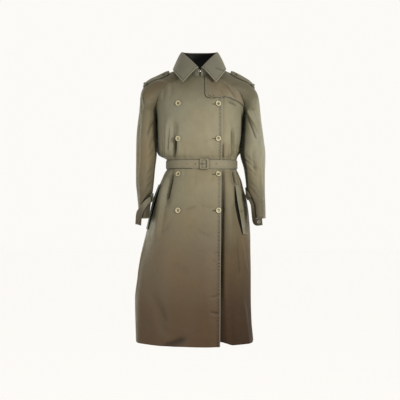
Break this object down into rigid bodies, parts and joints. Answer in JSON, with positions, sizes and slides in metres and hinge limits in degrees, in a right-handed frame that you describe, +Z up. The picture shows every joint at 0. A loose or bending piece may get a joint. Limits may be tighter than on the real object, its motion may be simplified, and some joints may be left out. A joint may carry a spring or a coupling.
{
  "type": "trench coat",
  "caption": "Long belted double-breasted gabardine trench coat, filled out as worn and empty inside, with raglan sleeves, epaulettes, storm flap and cuff straps.",
  "frame": {"origin": "on the axis of the neck at the height of the shoulders, where the wearer's shoulders carry the coat", "axes": "+Z up; the coat faces -Y, so +X is the wearer's left and +Y is behind the wearer"},
  "size_m": [0.5304, 0.4255, 1.1848],
  "materials": {
    "gabardine": "matte twill with a soft sheen, khaki",
    "gabardine_collar": "matte twill, khaki, a little darker",
    "gabardine_strap": "matte twill, khaki, stitched along its edges",
    "pocket_lining": "matte charcoal",
    "thread": "matte sewing thread",
    "horn": "satin imitation horn, pale rim and dark middle",
    "metal": "dull nickel"
  },
  "bodies": {
    "root": {"front_right": "gabardine", "front_left": "gabardine", "back": "gabardine", "sleeve_left": "gabardine", "sleeve_right": "gabardine", "collar_stand": "gabardine_collar", "collar_fall": "gabardine_collar", "storm_flap": "gabardine", "flap_button": "horn", "belt": "gabardine_strap", "buckle_frame": "gabardine_strap", "buckle_prong": "metal", "throat_hook": "metal", "epaulette_left": "gabardine_strap", "epaulette_loop_left": "gabardine_strap", "epaulette_button_left": "horn", "pocket_welt_left": "gabardine", "pocket_mouth_left": "pocket_lining", "cuff_strap_left": "gabardine_strap", "cuff_loop_left": "gabardine_strap", "cuff_button_left": "horn", "button_left_1": "horn", "button_left_2": "horn", "button_left_3": "horn", "button_left_4": "horn", "epaulette_right": "gabardine_strap", "epaulette_loop_right": "gabardine_strap", "epaulette_button_right": "horn", "pocket_welt_right": "gabardine", "pocket_mouth_right": "pocket_lining", "cuff_strap_right": "gabardine_strap", "cuff_loop_right": "gabardine_strap", "cuff_button_right": "horn", "button_right_1": "horn", "button_right_2": "horn", "button_right_3": "horn", "button_right_4": "horn"}
  },
  "joints": []
}
